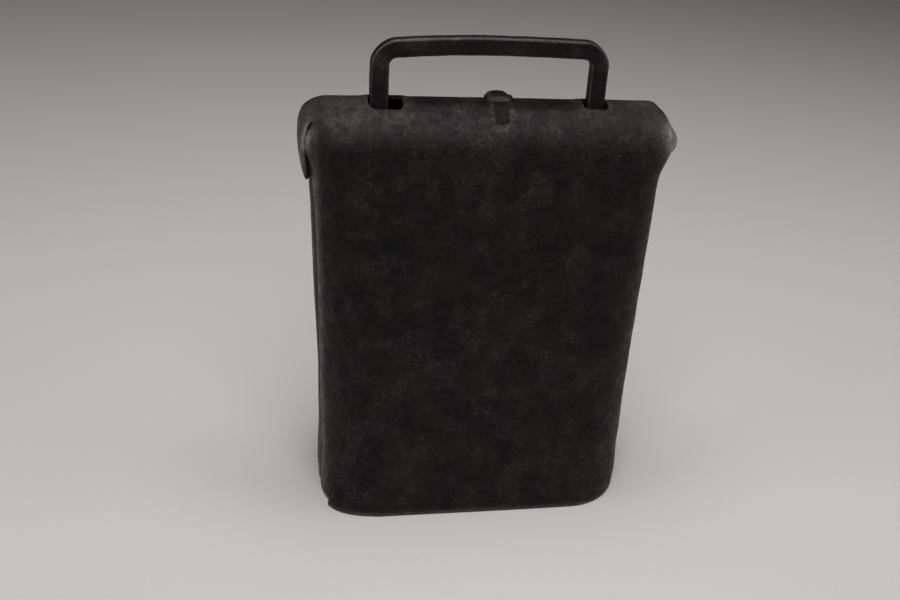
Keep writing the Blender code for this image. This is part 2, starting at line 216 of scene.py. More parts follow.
def ironMaterial(name, look):
    material = bpy.data.materials.new(name)
    material.use_nodes = True
    tree = material.node_tree
    shader = tree.nodes["Principled BSDF"]
    shader.inputs["Specular IOR Level"].default_value = look["specular"]
    place = addNode(tree, "TexCoord").outputs["Object"]
    inMm = addNode(tree, "Mapping", {"Scale": (1000.0,) * 3}, {"Vector": place}).outputs[0]

    def cloud(size, detail=3.0, seed=0.0, rough=0.55, stretch=(1.0, 1.0, 1.0), turn=(0.0, 0.0, 0.0)):
        # noise whose lumps are about one size (mm) across
        moved = addNode(
            tree, "Mapping",
            {"Location": (seed, seed * 0.7, -seed), "Rotation": turn, "Scale": stretch},
            {"Vector": inMm},
        ).outputs[0]
        settings = {"Scale": 1.0 / size, "Detail": detail, "Roughness": rough}
        return addNode(tree, "TexNoise", settings, {"Vector": moved}).outputs[0]

    def ramp(source, low, high, bottom=0.0, top=1.0):
        settings = {1: low, 2: high, 3: bottom, 4: top, "interpolation_type": "SMOOTHSTEP"}
        return addNode(tree, "MapRange", settings, {0: source}).outputs[0]

    def maths(operation, first, second):
        node = addNode(tree, "Math", {"operation": operation})
        for index, value in enumerate((first, second)):
            if isinstance(value, (int, float)):
                node.inputs[index].default_value = value
            else:
                tree.links.new(value, node.inputs[index])
        return node.outputs[0]

    def blend(factor, below, above):
        node = addNode(tree, "Mix", {"data_type": "RGBA"}, {0: factor})
        for index, value in ((6, below), (7, above)):
            if isinstance(value, str):
                node.inputs[index].default_value = hexColour(value)
            else:
                tree.links.new(value, node.inputs[index])
        return node.outputs[2]

    def mask(attribute):
        return addNode(tree, "Attribute", {"attribute_name": attribute}).outputs["Fac"]

    # patina: dark oxides of several hues that drift into each other
    drift = cloud(look["driftSize"], 8.0, 3.0, 0.64)
    colour = addNode(tree, "ValToRGB", {"stops": look["oxides"]}, {0: drift}).outputs[0]
    patches = (
        ("olive", look["mottleSize"], 11.0, 0.50, 0.66),
        ("russet", look["mottleSize"] * 0.8, 29.0, 0.51, 0.66),
        ("bluish", look["mottleSize"] * 1.2, 37.0, 0.51, 0.68),
        ("soot", look["mottleSize"] * 1.7, 43.0, 0.50, 0.64),
        ("grain", look["grainSize"], 41.0, 0.53, 0.70),
    )
    for tint, size, seed, low, high in patches:
        patch = ramp(cloud(size, 6.0, seed, 0.70), low, high)
        colour = blend(maths("MULTIPLY", patch, look[tint + "Share"]), colour, look[tint])

    # clusters of pale flecks where the scale has chipped
    cluster = ramp(cloud(look["clusterSize"], 5.0, 67.0, 0.62), 0.49, 0.63)
    chipped = ramp(cloud(look["grainSize"] * 1.2, 4.0, 61.0, 0.75), 0.47, 0.66, 0.12, 1.0)
    chipped = maths("MULTIPLY", maths("MULTIPLY", cluster, chipped), look["fleckShare"])
    colour = blend(chipped, colour, look["fleck"])

    # pale bloom where handling and dust have greyed the oxide; on the strap's bend it is a painted highlight
    bloomField = cloud(look["mottleSize"] * 2.0, 6.0, 53.0, 0.72)
    greyed = maths("MULTIPLY", mask("bloom"), ramp(bloomField, 0.40, 0.64, 0.25, 1.0))
    fleck = ramp(cloud(look["grainSize"] * 1.3, 4.0, 61.0, 0.75), 0.46, 0.64, 0.35, 1.0)
    greyed = maths("MULTIPLY", greyed, fleck)
    colour = blend(greyed, colour, look["bloomColour"])

    # bare burnished metal on the edges; the same pale colour is painted as highlights on the ears, beside them
    # and on the strap's bend
    rubbed = ramp(cloud(look["grainSize"] * 1.6, 4.0, 71.0, 0.7), 0.30, 0.62, 0.35, 1.0)
    wornAndHighlit = maths("MULTIPLY", mask("wear"), rubbed)
    colour = blend(wornAndHighlit, colour, look["bareAndHighlightColour"])

    # dust, rust and braze, each on its own mask
    dusty = maths("MULTIPLY", mask("dust"), ramp(cloud(2.2, 5.0, 83.0, 0.75), 0.40, 0.62))
    colour = blend(dusty, colour, look["dustColour"])
    rusty = maths("MULTIPLY", mask("rust"), ramp(cloud(1.6, 5.0, 97.0, 0.75), 0.36, 0.60))
    rustTone = blend(ramp(cloud(1.1, 3.0, 101.0), 0.4, 0.62), look["rustDark"], look["rustLight"])
    colour = blend(rusty, colour, rustTone)
    brazed = maths("MULTIPLY", mask("braze"), ramp(cloud(1.3, 4.0, 109.0, 0.7), 0.38, 0.60))
    colour = blend(brazed, colour, look["brazeColour"])
    tree.links.new(colour, shader.inputs["Base Color"])

    # scratches: long thin lines in two directions, only where their own mask lets them show
    lines = []
    for seed, turn in ((5.0, (0.3, 0.9, 0.2)), (9.0, (0.1, -0.6, 0.5))):
        thread = cloud(look["scratchWidth"], 1.0, seed * 13.0, 0.4, (1.0, 1.0, 0.045), turn)
        lines.append(ramp(thread, 0.665, 0.72))
    scratched = maths("MAXIMUM", lines[0], lines[1])
    scratched = maths("MULTIPLY", scratched, ramp(cloud(14.0, 2.0, 131.0), 0.48, 0.62))

    # roughness follows the oxide; burnished and scratched places shine more
    dullField = cloud(look["mottleSize"] * 0.7, 4.0, 151.0, 0.65)
    dull = ramp(dullField, 0.32, 0.68, look["roughLow"], look["roughHigh"])
    dull = maths("SUBTRACT", dull, maths("MULTIPLY", wornAndHighlit, look["burnish"]))
    dull = maths("ADD", dull, maths("MULTIPLY", maths("MAXIMUM", dusty, rusty), 0.25))
    tree.links.new(dull, shader.inputs["Roughness"])
    bare = maths("ADD", maths("MULTIPLY", wornAndHighlit, look["bareMetal"]), look["patinaMetal"])
    bare = maths("SUBTRACT", bare, maths("MULTIPLY", rusty, look["patinaMetal"]))
    tree.links.new(bare, shader.inputs["Metallic"])

    # relief, broad to fine: hammer blows, scale, pits, scratches
    pits = addNode(tree, "TexVoronoi", {"Scale": 1.0 / look["pitSize"]}, {"Vector": inMm}).outputs[0]
    pitted = ramp(cloud(8.0, 3.0, 163.0), 0.46, 0.66)
    pitted = maths("MULTIPLY", ramp(pits, 0.10, 0.30, 1.0, 0.0), pitted)
    layers = (
        (cloud(look["blowSize"], 2.0, 171.0, 0.45), look["blowHeight"], False),
        (cloud(look["scaleSize"], 5.0, 181.0, 0.68), look["scaleHeight"], False),
        (pitted, look["pitDepth"], True),
        (scratched, look["scratchDepth"], True),
        (maths("MAXIMUM", dusty, rusty), look["crustHeight"], False),
    )
    bump = None
    for height, distance, inward in layers:
        links = {"Height": height}
        if bump:
            links["Normal"] = bump
        settings = {"Distance": distance * mm, "Strength": 1.0, "invert": inward}
        bump = addNode(tree, "Bump", settings, links).outputs[0]
    tree.links.new(bump, shader.inputs["Normal"])
    return material


# body: one iron sheet folded over at the crown, lapped at the sides, hammered all over

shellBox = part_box("shell")
bellForm = {
    "height": shellBox[1].z / mm,
    "ridgeRadius": 15.0,
    "mouthDepth": -shellBox[0].y / mm - 0.26,    # what the curled lip adds comes back here
    "sheet": 1.2,
    "mouthCorner": 19.7,
    "shoulderCorner": 10.0,
    "lapShare": 0.5,
    # height and half width up each side; the crown starts at the last height
    "leftSide": (
        (0.0, 52.4), (12.0, 52.2), (24.0, 52.3), (42.0, 52.8), (62.0, 53.3), (83.0, 54.0),
        (100.0, 54.7), (111.0, 55.4), (116.5, 56.1), (120.5, 57.9), (124.6, 58.6), (130.0, 58.7),
    ),
    "rightSide": (
        (0.0, 52.6), (7.0, 53.5), (14.0, 53.2), (24.0, 53.2), (42.0, 53.3), (62.0, 53.6), (83.0, 54.0),
        (100.0, 54.4), (112.0, 54.5), (117.0, 54.9), (120.0, 55.8), (123.0, 57.6), (130.0, 58.6),
    ),
    # how far the back sheet's edge stands out over the front one
    "lapStep": ((0.0, 0.35), (50.0, 0.4), (75.0, 0.9), (106.0, 0.9), (118.0, 0.7), (124.6, 0.3)),
    "ridgeHalf": 50.2,
    "rowStep": 0.85,
    "crownRows": 40,
    "faceSteps": 104,
    "cornerSteps": 24,
    "lapSteps": 6,
    "shoulderBulge": 1.0,
    "bedRim": 0.22, "holeBurr": 0.32,
    "dent": 0.42, "dentSize": 34.0,      # slow waves left by the hammer and by use
    "blow": 0.16, "blowSize": 10.0,      # single hammer blows
    "chatter": 0.045, "chatterSize": 3.6,
}

earForms = {
    "left": {
        "side": -1,
        "path": ((43.0, 137.7), (48.0, 137.9), (52.2, 137.85), (55.6, 137.0), (58.3, 134.9), (59.8, 131.6),
                 (60.15, 128.0), (60.1, 124.0), (59.6, 119.6), (58.7, 115.4), (57.4, 112.1)),
        "half": 8.4, "tip": 9.0, "blunt": 2.6, "flatten": 1.6, "hug": 0.66, "swell": 0.0,
    },
    "right": {
        "side": 1,
        "path": ((43.0, 137.7), (46.5, 137.6), (49.8, 136.9), (53.1, 135.4), (56.1, 133.4), (58.5, 131.2),
                 (60.0, 128.8), (60.35, 126.4), (60.05, 124.2), (58.9, 122.3), (57.1, 120.9)),
        "half": 9.8, "tip": 12.0, "blunt": 1.7, "flatten": 1.4, "hug": 0.5, "swell": 2.2,
    },
}

leanAngle = math.atan2(28.0, 123.0) - math.asin(15.0 / math.hypot(28.0, 123.0))


def arcPoints(centreX, centreY, radius, start, end, steps):
    angles = np.linspace(start, end, steps + 1)
    return np.stack([centreX + radius * np.cos(angles), centreY + radius * np.sin(angles)], 1)


def ringOutline(left, right, depth, corner, step, lapY, ease):
    # front sheet from its left edge to its right one, then the back sheet, a step further out
    steps, bend = bellForm["lapSteps"], bellForm["cornerSteps"]
    inner = max(depth - corner, 0.0)
    halves = []
    for sign, reach, start in ((-1.0, 0.0, -0.35), (1.0, step, 0.45)):
        wideLeft, wideRight = left + reach, right + reach
        turn = math.pi * (1.0 - 0.5 * sign)
        rise = np.linspace(lapY + start * ease, sign * inner, steps + 1)[:-1]
        run = np.linspace(corner - wideLeft, wideRight - corner, bellForm["faceSteps"] + 1)[1:-1]
        half = np.concatenate([
            np.stack([np.full(steps, -wideLeft), rise], 1),
            arcPoints(corner - wideLeft, sign * inner, corner, math.pi, turn, bend),
            np.stack([run, np.full(len(run), sign * depth)], 1),
            arcPoints(wideRight - corner, sign * inner, corner, turn, math.pi * (1.0 - sign), bend),
            np.stack([np.full(steps, wideRight), rise[::-1]], 1),
        ])
        halves.append(half if sign < 0.0 else half[::-1])

    def lapEdge(reach):
        # a narrow groove between the sheets, then the upper one's cut edge, its burr rubbed off
        return np.array([(reach - 0.28 * ease, lapY - 0.02 * ease), (reach + step * 0.55, lapY),
                         (reach + step - 0.12 * ease, lapY + 0.10 * ease)])

    leftEdge = lapEdge(left)[::-1] * (-1.0, 1.0)
    return np.concatenate([halves[0], lapEdge(right), halves[1], leftEdge])


def shellRings(inset, direction, rowStep, crownRows):
    form = bellForm
    ridgeZ = form["height"] - form["ridgeRadius"]
    radius = form["ridgeRadius"] - inset
    topZ = ridgeZ + radius * math.sin(leanAngle)
    heights = np.linspace(0.0, topZ, int(topZ / rowStep) + 1)
    # two more rows round the rim's edge
    heights = np.concatenate([[0.0, 0.12, 0.40], heights[1:]])
    pull = np.concatenate([[0.42, 0.12, 0.0], np.zeros(len(heights) - 3)])
    lefts = easedLine(heights, form["leftSide"], 3.5)
    rights = easedLine(heights, form["rightSide"], 3.5)
    steps = easedLine(heights, form["lapStep"], 3.5)
    rings = []
    for height, left, right, step, tuck in zip(heights, lefts, rights, steps, pull):
        share = height / topZ
        mouthDepth = form["mouthDepth"] - inset / math.cos(leanAngle)
        depth = mouthDepth + (radius * math.cos(leanAngle) - mouthDepth) * share
        corner = form["mouthCorner"] + (form["shoulderCorner"] - form["mouthCorner"]) * share ** 1.3 - inset
        wander = 0.5 * noise.noise(Vector((height / 11.0, 3.3, 0.0)))
        wander += 0.2 * noise.noise(Vector((height / 3.0, 7.7, 0.0)))
        lapY = direction * form["lapShare"] * (depth - corner) + wander * smoothStep(height, 124.0, 110.0)
        tuck *= direction
        outline = ringOutline(left - inset + tuck * 0.6, right - inset + tuck * 0.6,
                              depth + tuck, corner, step, lapY, 1.0)
        rings.append(np.column_stack([outline, np.full(len(outline), height)]))
    lastStep = steps[-1]
    left, right = lefts[-1], rights[-1]
    for row in range(1, crownRows + 1):
        angle = leanAngle + (math.pi / 2 - leanAngle) * row / crownRows
        narrowing = math.cos(angle) / math.cos(leanAngle) if row < crownRows else 0.0
        depth = radius * math.cos(angle) if row < crownRows else 0.0
        fullness = narrowing ** 0.8      # the fold's ends stay full under the ears
        corner = (form["shoulderCorner"] - inset) * narrowing ** 1.3
        wideLeft = form["ridgeHalf"] + (left - form["ridgeHalf"]) * fullness - inset
        wideRight = form["ridgeHalf"] + (right - form["ridgeHalf"]) * fullness - inset
        lapY = direction * form["lapShare"] * (depth - corner)
        outline = ringOutline(wideLeft, wideRight, depth, corner, lastStep * narrowing, lapY, narrowing)
        height = ridgeZ + radius * math.sin(angle)
        rings.append(np.column_stack([outline, np.full(len(outline), height)]))
    return rings


def hammered(points):
    # how far each point of the sheet stands out (mm); both skins and the ears share it
    form = bellForm
    flat = points.copy()
    flat[:, 1] = np.sign(points[:, 1]) * 40.0 * smoothStep(np.abs(points[:, 1]), 0.0, 12.0)
    push = form["dent"] * roughField(flat, form["dentSize"], 1)
    push += form["blow"] * roughField(flat, form["blowSize"], 2)
    push += form["chatter"] * roughField(flat, form["chatterSize"], 3, 2)
    x, y, z = points.T
    # the sheet swells beside the ears where their ends were beaten down
    place = (x, np.abs(y), z)
    right = lumpAt(place, (57.0, 10.0, 129.0), (6.0, 6.0, np.where(z < 129.0, 5.2, 7.0)))
    left = lumpAt(place, (-57.8, 9.6, 128.2), (2.8, 2.8, 4.4))
    push += form["shoulderBulge"] * (right + 0.8 * left)
    # and it rises a little beside the staple's bedded leg
    besideLeg = smoothStep(np.abs(np.abs(x - stapleForm["x"]) - 3.2), 1.8, 0.2)
    push += form["bedRim"] * besideLeg * smoothStep(z, 130.0, 133.0) * (y < 3.0)
    # burrs stand round the bail's holes
    for hole in bailHoles.values():
        push += form["holeBurr"] * smoothStep(holeGap(hole, x, y), 2.4, 0.2) * (z > 129.0)
    return push


def buildSheet():
    form = bellForm
    outer = shellRings(0.0, -1.0, form["rowStep"], form["crownRows"])
    inner = shellRings(form["sheet"], 1.0, form["rowStep"], form["crownRows"])
    # the inside is hardly seen, so it has every third row only
    inner = inner[:4] + inner[4:-form["crownRows"]:3] + inner[-form["crownRows"]:-1:3] + inner[-1:]
    columns = len(outer[0])
    points = np.concatenate(outer + inner)
    faces = []
    for base, count, flip in ((0, len(outer), False), (len(outer), len(inner), True)):
        for row in range(count - 1):
            low, high = (base + row) * columns, (base + row + 1) * columns
            for i in range(columns):
                j = (i + 1) % columns
                quad = (low + i, low + j, high + j, high + i)
                faces.append(quad[::-1] if flip else quad)
    innerStart = len(outer) * columns
    for i in range(columns):
        j = (i + 1) % columns
        faces.append((i, innerStart + i, innerStart + j, j))
    mesh = bpy.data.meshes.new("bellSheet")
    mesh.from_pydata(points.tolist(), [], faces)
    cleanMesh(mesh)
    points, normals = readPoints(mesh), readNormals(mesh)
    # the inner skin's normals point into the bell, so its push is turned round
    outward = points * (0.35, 1.0, 1.0)
    outward[:, 2] -= np.minimum(points[:, 2], 118.0)
    facing = np.einsum("ij,ij->i", normals, outward)
    push = hammered(points) * np.where(facing < 0.0, -1.0, 1.0)
    push *= smoothStep(points[:, 2], 0.2, 9.0) * 0.85 + 0.15
    moved = points + normals * push[:, None]
    # the lip of the mouth waves a little, curls out at the front and stands clear of the floor in places
    low = smoothStep(points[:, 2], 14.0, 0.0)
    faceSign = np.sign(points[:, 1])
    onFace = smoothStep(np.abs(points[:, 1]), 12.0, 24.0)
    wave = 0.5 + 0.5 * np.sin(points[:, 0] / 13.0 + 0.8)
    moved[:, 1] += faceSign * onFace * low ** 2 * (0.04 + 0.16 * wave)
    lift = 0.28 * (0.5 - 0.5 * np.cos(points[:, 0] / 21.0 + 0.35))
    lift *= 0.3 + 0.7 * (points[:, 1] > 0.0)
    moved[:, 2] += lift * smoothStep(points[:, 2], 20.0, 0.0)
    # the torn corner of the lip has been pushed out beside the crack
    fromCorner = moved[:, :2] - crackCentre()
    around = np.degrees(np.arctan2(fromCorner[:, 1], fromCorner[:, 0])) % 360.0
    slant = np.degrees(rimCrack["lean"] / form["mouthCorner"]) / rimCrack["height"]
    pastTear = around - rimCrack["angle"] - slant * points[:, 2]
    bulge = rimCrack["bulge"] * smoothStep(pastTear, -2.0, 8.0)
    bulge *= smoothStep(around, rimCrack["bulgeEnd"], 218.0)
    bulge *= smoothStep(points[:, 2], rimCrack["bulgeHeight"], 0.0)
    moved[:, :2] += fromCorner / np.linalg.norm(fromCorner, axis=1)[:, None] * bulge[:, None]
    moved[:, 2] = np.maximum(moved[:, 2], 0.0)
    writePoints(mesh, moved)
    return addObject("bellSheet", mesh)


def splinePoints(keys, steps):
    # a smooth line through the keys
    keys = np.asarray(keys, float)
    padded = np.vstack([2 * keys[0] - keys[1], keys, 2 * keys[-1] - keys[-2]])
    line = []
    for i in range(1, len(padded) - 2):
        a, b, c, d = padded[i - 1:i + 3]
        for t in np.linspace(0.0, 1.0, steps, endpoint=False):
            square, cube = 2 * a - 5 * b + 4 * c - d, 3 * b - a - 3 * c + d
            line.append(0.5 * (2 * b + (c - a) * t + square * t ** 2 + cube * t ** 3))
    line.append(keys[-1])
    return np.array(line)


def lineNormals(line):
    along = np.gradient(line, axis=0)
    along /= np.linalg.norm(along, axis=1)[:, None]
    return np.stack([-along[:, 1], along[:, 0]], 1)


def buildEar(name, ear):
    # the end of the ridge as a bent tongue, curved across like the ridge at its root and flatter below
    line = splinePoints(ear["path"], 9)
    normals = lineNormals(line)
    tipZ = ear["path"][-1][1]
    top = bellForm["height"]
    length = np.concatenate([[0.0], np.cumsum(np.linalg.norm(np.diff(line, axis=0), axis=1))])
    toTip = length[-1] - length
    rings = []
    for (x, z), (nx, nz), left in zip(line, normals, toTip):
        drop = (top - z) / (top - tipZ)
        tip = max(0.0, 1.0 - left / ear["tip"])
        half = ear["half"] * (1.0 - 0.14 * drop) * math.sqrt(max(0.03, 1.0 - tip ** ear["blunt"]))
        half += 0.25 * noise.noise(Vector((left / 5.0, ear["side"] * 4.0, 0.0)))
        # the edges hug the sheet and only the very end stands away from it
        hug = ear["hug"] + (0.85 - ear["hug"]) * float(smoothStep(drop, 0.68, 0.94))
        flatten = 1.0 - hug * min(1.0, max(0.0, drop) * ear["flatten"])
        thick = bellForm["sheet"] + ear["swell"] * float(smoothStep(left, 13.0, 4.0))
        across = np.linspace(-half, half, 29)
        edge = 0.45
        upper = [(y, 0.0) for y in across[1:-1]]
        lower = [(y, thick) for y in across[::-1][1:-1]]
        bend, middle = np.linspace(0.25, math.pi - 0.25, 6), thick / 2
        rightEdge = [(half + edge * math.sin(a), middle - middle * math.cos(a)) for a in bend]
        leftEdge = [(-half - edge * math.sin(a), middle + middle * math.cos(a)) for a in bend]
        ring = []
        for y, depth in upper + rightEdge + lower + leftEdge:
            reach = min(abs(y), 14.0)
            sag = (15.0 - math.sqrt(225.0 - reach ** 2)) * flatten + depth
            ring.append((ear["side"] * (x - nx * sag), y, z - nz * sag))
        rings.append(ring)
    mesh = cleanMesh(gridMesh(name, rings))
    points, meshNormals = readPoints(mesh), readNormals(mesh)
    push = hammered(points) * smoothStep(np.abs(points[:, 0]), 61.0, 56.0) - 0.04
    aside = -np.sign(points[:, 0]) * smoothStep(np.abs(points[:, 0]), 50.0, 58.0)
    facing = meshNormals[:, 0] * aside - meshNormals[:, 2]
    push *= np.where(facing > 0.0, -1.0, 1.0)
    writePoints(mesh, points + meshNormals * push[:, None])
    return addObject(name, mesh)


def holeMiddle(hole):
    # centre and half size of a bail hole, seen from above
    outer = bailForm["x"] + hole["side"] * (bailForm["halfSpan"] + hole["outer"])
    inner = bailForm["x"] + hole["side"] * (bailForm["halfSpan"] - bailForm["legWidth"] - hole["inner"])
    centre = np.array([(outer + inner) / 2, (hole["back"] - hole["front"]) / 2])
    return centre, np.array([abs(outer - inner) / 2, (hole["back"] + hole["front"]) / 2])


def holeGap(hole, x, y):
    # how far points lie outside a hole, seen from above
    centre, half = holeMiddle(hole)
    beside = [np.maximum(np.abs(p - c) - h, 0.0) for p, c, h in zip((x, y), centre, half)]
    return np.hypot(*beside)


def holeCutter(name, hole):
    # a prism with a slightly uneven outline, as a punch leaves
    outline = holeOutline(hole)
    centre = np.mean(outline, axis=0)
    wobbles = [noise.noise(Vector((i * 0.9, hole["side"] * 3.0, 0.0))) for i in range(len(outline))]
    outline = centre + (outline - centre) * (1.0 + 0.07 * np.array(wobbles))[:, None]
    rings = [np.column_stack([outline, np.full(len(outline), z)]) for z in (127.0, 142.0)]
    return addObject(name, cleanMesh(gridMesh(name, rings)))


bailHoles = {
    # how far each hole reaches past the leg: outside it, inside it, in front and behind (from the middle)
    "left": {"side": -1, "outer": 0.6, "inner": 4.2, "front": 6.7, "back": 3.1, "radius": 2.3},
    "right": {"side": 1, "outer": 0.5, "inner": 1.9, "front": 6.1, "back": 3.1, "radius": 2.0},
}
rimCrack = {
    "angle": 207.0,                  # degrees round the corner's centre
    "width": 1.0, "height": 8.5, "lean": 3.0,
    "bulge": 1.9, "bulgeEnd": 262.0, "bulgeHeight": 13.0,
}
bailForm = {
    "x": (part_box("bail")[0].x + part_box("bail")[1].x) / 2 / mm,
    "top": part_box("bail")[1].z / mm,
    "halfSpan": 37.0,
    "legWidth": 5.8,
    "barHeight": 5.8,
    "depth": 4.2,
    "corner": 5.3,
    "edge": 1.25,
    "clinchZ": 129.6,
    "clinchReach": 46.8,
}
stapleForm = {
    "x": (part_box("clapper_staple")[0].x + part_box("clapper_staple")[1].x) / 2 / mm,
    "width": 4.8, "capWidth": 8.3,
    "thickness": 2.0, "capThickness": 2.5, "bedThickness": 1.5,
    "capDome": 0.029,                # how fast its sides fall away
    "saddleRadius": 16.1,
    "shoulderRadius": 3.0,
    # the strap drops into a bed in the sheet just in front of the ridge, and stays proud of it behind
    "halves": {
        "front": {"drop": 1.5, "angle": 37.5, "lean": 8.5},
        "back": {"drop": 0.0, "angle": 34.0, "lean": 11.5},
    },
    "capFront": 6.5,                 # degrees past the ridge where the cap ends
    "barZ": 117.0,
    "barDiameter": 3.2,
    "bottomRadius": 4.0,
    "slotGap": 0.06,
    "skew": (0.04, 0.05),            # sideways for each mm behind and in front of the ridge
}


def holeOutline(hole):
    (x, y), (halfX, halfY) = holeMiddle(hole)
    radius = hole["radius"]
    turns = ((1, 1, 0.0), (-1, 1, 0.5), (-1, -1, 1.0), (1, -1, 1.5))
    return np.concatenate([
        arcPoints(x + u * (halfX - radius), y + v * (halfY - radius), radius, a * math.pi, (a + 0.5) * math.pi, 7)
        for u, v, a in turns])


def stapleHalfPath(drop, angle, lean):
    # half of the strap's middle line, from the ridge's top to the bar
    form = stapleForm
    ridgeZ = bellForm["height"] - bellForm["ridgeRadius"]
    up, turn, lean = math.pi / 2, math.radians(angle), math.radians(lean)
    turns = np.linspace(0.0, turn, 60)
    radii = form["saddleRadius"] - drop * smoothStep(np.degrees(turns), 0.0, form["capFront"] + 1.0)
    path = np.stack([radii * np.sin(turns), ridgeZ + radii * np.cos(turns)], 1)
    radius = form["shoulderRadius"]
    inward = (radii[-1] - radius) / radii[-1]
    shoulder = (path[-1][0] * inward, ridgeZ + (path[-1][1] - ridgeZ) * inward)
    path = np.concatenate([path, arcPoints(*shoulder, radius, up - turn, -lean, 12)[1:]])
    legTop = path[-1]
    bottom = form["bottomRadius"]
    turnZ = form["barZ"] + bottom
    legEndZ = turnZ - bottom * math.sin(lean)
    legEndY = legTop[0] - (legTop[1] - legEndZ) * math.tan(lean)
    shares = np.linspace(0.0, 1.0, 14)[1:-1, None]
    leg = legTop + (np.array([legEndY, legEndZ]) - legTop) * shares
    bend = arcPoints(legEndY - bottom * math.cos(lean), turnZ, bottom, -lean, -up, 12)
    return np.concatenate([path, leg, bend])


def buildShell(material):
    sheet = buildSheet()
    tools = [(buildEar("ear" + side.title(), ear), "UNION") for side, ear in earForms.items()]
    tools += [(holeCutter("hole" + side, hole), "DIFFERENCE") for side, hole in bailHoles.items()]
    # the strap's bed and slots fit it closely
    bed = stapleMesh()
    writePoints(bed, readPoints(bed) + readNormals(bed) * stapleForm["slotGap"])
    tools += [(addObject("strapBed", bed), "DIFFERENCE"), (rimCrackCutter(), "DIFFERENCE")]
    mesh = cutAndJoin(sheet, tools)
    easeShoulders(mesh)
    paintShell(mesh)
    return finishPiece(addObject("patinaShell", mesh), material, "bell", "shell")


def crackCentre():
    corner = bellForm["mouthCorner"]
    return np.array([-(bellForm["leftSide"][0][1] - corner), -(bellForm["mouthDepth"] - corner)])


def rimCrackCutter():
    # a jagged tear up from the mouth, where the folded corner gave way
    form = rimCrack
    angle = math.radians(form["angle"])
    corner = bellForm["mouthCorner"]
    centre = crackCentre()
    out = np.array([math.cos(angle), math.sin(angle)])
    sideways = np.array([-out[1], out[0]])
    start = centre + out * corner
    rings = []
    for share in np.linspace(0.0, 1.0, 10):
        z = -0.6 + (form["height"] + 0.6) * share
        half = form["width"] / 2 * (1.0 - share) ** 0.8 + 0.03
        drift = form["lean"] * share + 0.35 * noise.noise(Vector((z / 1.8, 4.4, 0.0)))
        middle = start + sideways * drift
        corners = [middle + out * u + sideways * v * half
                   for u, v in ((-3.0, -1), (4.0, -1), (4.0, 1), (-3.0, 1))]
        rings.append([(x, y, z) for x, y in corners])
    return addObject("rimTear", cleanMesh(gridMesh("rimTear", rings)))


def easeShoulders(mesh):
    # beats the ears' front edges into the sheet: all of it on the right, only the root on the left
    x, y, z = readPoints(mesh).T
    right = smoothStep(x, 44.0, 49.0) * smoothStep(z, 119.0, 123.0)
    leftRoot = smoothStep(-x, 42.0, 46.0) * smoothStep(-x, 58.8, 56.6) * smoothStep(z, 128.6, 131.2)
    # the root of each ear has to melt into the ridge
    roots = smoothStep(np.abs(x), 40.0, 44.0) * smoothStep(np.abs(x), 52.0, 48.0) * smoothStep(z, 128.0, 132.0)
    smoothPoints(mesh, 0.55 * clamp(np.maximum(np.maximum(right, 0.8 * leftRoot), roots)), 26)


def paintShell(mesh):
    # masks for the material, from where each point lies on the bell
    p = readPoints(mesh)
    n = readNormals(mesh)
    x, y, z = p.T
    outward = n[:, 1] * np.sign(y) + n[:, 0] * np.sign(x) * 0.6 + n[:, 2] * 0.7 * (z > 120.0)
    outside = smoothStep(outward, 0.0, 0.25)
    field = roughField(p, 12.0, 8, 2)
    # wear and painted highlight: the ears' rounded backs (worn, and far paler on the right as a painted
    # highlight), the sheet's side edges, the rim
    earTopWearAndHighlight = smoothStep(np.abs(x), 55.5, 60.0) * smoothStep(z, 108.0, 122.0)
    earTopWearAndHighlight *= np.where(x > 0.0, 1.0, 0.28)
    # painted highlights: pale lumps on the shoulders beside the left and right ears
    bulge = 1.9 * lumpAt((x, y, z), (-58.4, -9.2, 128.4), (1.6, 1.9, 4.0))
    bulge += 1.5 * lumpAt((x, y, z), (56.8, -8.6, 129.8), (4.6, 5.5, 4.8))
    sideEdge = smoothStep(np.abs(x) - (51.4 + 3.4 * z / 124.0), -1.6, 0.9) * (y < 0.0)
    sideEdge *= 1.0 - 0.6 * smoothStep(z, 114.0, 124.0) * (x < 0.0)
    rim = smoothStep(z, 2.2, 0.2)
    crownEdge = smoothStep(z, 136.2, 138.2) * smoothStep(np.abs(x), 30.0, 50.0)
    wear = 0.62 * earTopWearAndHighlight + 0.75 * bulge + 0.30 * sideEdge + 0.3 * rim + 0.12 * crownEdge
    # bloom: the crown and its ends are greyed by dust and handling
    crown = smoothStep(z, 117.0, 134.0)
    ends = smoothStep(np.abs(x), 34.0, 54.0)
    bloom = (0.05 + 0.20 * crown * ends + 0.12 * sideEdge) * (0.3 + 0.7 * outside)
    # rust creeps out of the bail's holes, and dust lies round them and beside the strap
    gaps = np.minimum(*[holeGap(hole, x, y) for hole in bailHoles.values()])
    gaps = np.where(z > 128.0, gaps, 99.0)
    rust = 0.6 * smoothStep(gaps, 1.8, 0.2) + 0.1 * smoothStep(roughField(p, 7.0, 19, 2), 0.5, 0.8)
    fromStrap = np.hypot(np.maximum(np.abs(x - stapleForm["x"]) - 2.7, 0.0),
                         np.maximum(np.abs(z - 133.0) - 4.0, 0.0) * 0.8)
    dust = 0.5 * smoothStep(fromStrap, 1.6, 0.2) * smoothStep(z, 130.0, 133.0)
    dust += 0.2 * crown * smoothStep(field, 0.15, 0.5) * ends + 0.16 * smoothStep(gaps, 4.5, 1.5)
    # braze shows in the seam under the ears
    seam = smoothStep(np.abs(y + 0.5 * (8.5 - 0.02 * z)), 3.0, 0.6) * (np.abs(x) > 50.0)
    braze = 0.65 * seam * smoothStep(z, 110.5, 113.5) * smoothStep(z, 121.0, 117.0)
    writeMasks(mesh, wear=wear * outside, bloom=bloom, rust=rust, dust=dust * outside, braze=braze)


# bail: a square-forged rod with its legs through the crown and its ends clinched outwards inside

